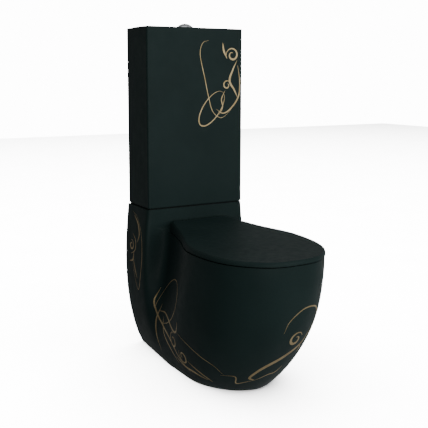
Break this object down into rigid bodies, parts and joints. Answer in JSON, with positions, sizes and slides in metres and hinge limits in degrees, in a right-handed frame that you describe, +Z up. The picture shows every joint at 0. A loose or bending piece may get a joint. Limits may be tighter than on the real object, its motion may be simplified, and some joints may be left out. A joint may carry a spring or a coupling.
{
  "type": "close coupled toilet",
  "caption": "Back-to-wall toilet with a flared egg-shaped pan, a slim upright cistern, a wrap-over soft-close lid and a split dome flush button.",
  "frame": {"origin": "on the floor, in the middle of the footprint's bounding box", "axes": "+X to the right of someone facing the toilet, +Y towards the wall behind it, +Z up"},
  "size_m": [0.3756, 0.7079, 1.061],
  "materials": {
    "glaze": "satin dark green-black glaze",
    "seat_plastic": "satin",
    "chrome": "polished",
    "rubber": "matte",
    "white_plastic": "satin",
    "steel": "satin",
    "brass": "satin"
  },
  "bodies": {
    "root": {"pan": "glaze", "pan_lugs": "glaze", "pan_bowl_upper": "glaze", "pan_bowl_middle": "glaze", "pan_bowl_lower": "glaze", "pan_trapway": "glaze", "pan_flushway": "glaze", "pan_flush_inlet": "glaze", "cistern": "glaze", "cistern_cover": "glaze", "joint_pad": "rubber", "inlet_doughnut": "rubber", "coupling_bolts": "steel", "coupling_cones": "rubber", "coupling_washers": "steel", "coupling_wing_nuts": "brass", "flush_base_seal": "rubber", "flush_valve_base": "white_plastic", "flush_back_nut": "white_plastic", "flush_cage": "white_plastic", "lever_pins": "steel", "button_bezel": "chrome", "button_nut": "white_plastic", "spring_bridge": "white_plastic", "button_spring_full": "steel", "button_spring_half": "steel", "fill_shank_seal": "rubber", "fill_valve_body": "white_plastic", "fill_valve_ears": "white_plastic", "fill_arm_pin": "steel", "fill_valve_nut": "white_plastic", "inlet_filter": "white_plastic", "hinge_posts": "chrome", "soft_close_pins": "steel", "seat_studs": "steel", "seat_bushes": "rubber", "seat_nuts": "brass"},
    "lid": {"lid": "seat_plastic"},
    "seat": {"seat_ring": "seat_plastic", "seat_buffers": "rubber"},
    "full_button": {"button_full": "chrome", "push_rod_full": "white_plastic"},
    "half_button": {"button_half": "chrome", "push_rod_half": "white_plastic"},
    "full_lever": {"full_flush_lever": "white_plastic"},
    "half_lever": {"half_flush_lever": "white_plastic"},
    "flush_tube": {"overflow_tube": "white_plastic", "flush_seal": "rubber"},
    "half_float": {"half_flush_float": "white_plastic"},
    "fill_float": {"fill_valve_float": "white_plastic"},
    "fill_arm": {"fill_valve_arm": "white_plastic"}
  },
  "joints": [
    {"name": "lid_hinge", "type": "hinge", "parent": "root", "child": "lid", "pos_m": [0, 0.18, 0.4255], "axis": [-1, 0, 0], "range_deg": [0, 91.5]},
    {"name": "seat_hinge", "type": "hinge", "parent": "lid", "child": "seat", "pos_m": [0, 0.18, 0.4255], "axis": [-1, 0, 0], "range_deg": [-91.5, 0]},
    {"name": "full_press", "type": "slide", "parent": "root", "child": "full_button", "axis": [0, 0, -1], "range_m": [0, 0.006], "stiffness_N_per_m": 500, "springref_m": -0.006, "deforming": ["button_spring_full"]},
    {"name": "half_press", "type": "slide", "parent": "root", "child": "half_button", "axis": [0, 0, -1], "range_m": [0, 0.006], "stiffness_N_per_m": 500, "springref_m": -0.006, "deforming": ["button_spring_half"]},
    {"name": "full_lever_turn", "type": "hinge", "parent": "root", "child": "full_lever", "pos_m": [0.022, 0.2765, 0.915], "axis": [0, 1, 0], "range_deg": [0, 33]},
    {"name": "half_lever_turn", "type": "hinge", "parent": "root", "child": "half_lever", "pos_m": [-0.022, 0.2765, 0.915], "axis": [0, -1, 0], "range_deg": [0, 33]},
    {"name": "tube_lift", "type": "slide", "parent": "root", "child": "flush_tube", "axis": [0, 0, 1], "range_m": [0, 0.0072]},
    {"name": "half_float_lift", "type": "slide", "parent": "root", "child": "half_float", "axis": [0, 0, 1], "range_m": [0, 0.0072]},
    {"name": "float_rise", "type": "slide", "parent": "root", "child": "fill_float", "axis": [0, 0, 1], "range_m": [0, 0.015]},
    {"name": "fill_arm_turn", "type": "hinge", "parent": "root", "child": "fill_arm", "pos_m": [0.095, 0.2765, 0.905], "axis": [0, -1, 0], "range_deg": [0, 27]}
  ],
  "couplings": [
    {"joint": "seat_hinge", "follows": "lid_hinge", "ratio": -1},
    {"joint": "full_lever_turn", "follows": "full_press", "rad_per_m": 93},
    {"joint": "tube_lift", "follows": "full_press", "ratio": 1.1667},
    {"joint": "half_lever_turn", "follows": "half_press", "rad_per_m": 93},
    {"joint": "half_float_lift", "follows": "half_press", "ratio": 1.1667},
    {"joint": "fill_arm_turn", "follows": "float_rise", "rad_per_m": 30.2}
  ]
}
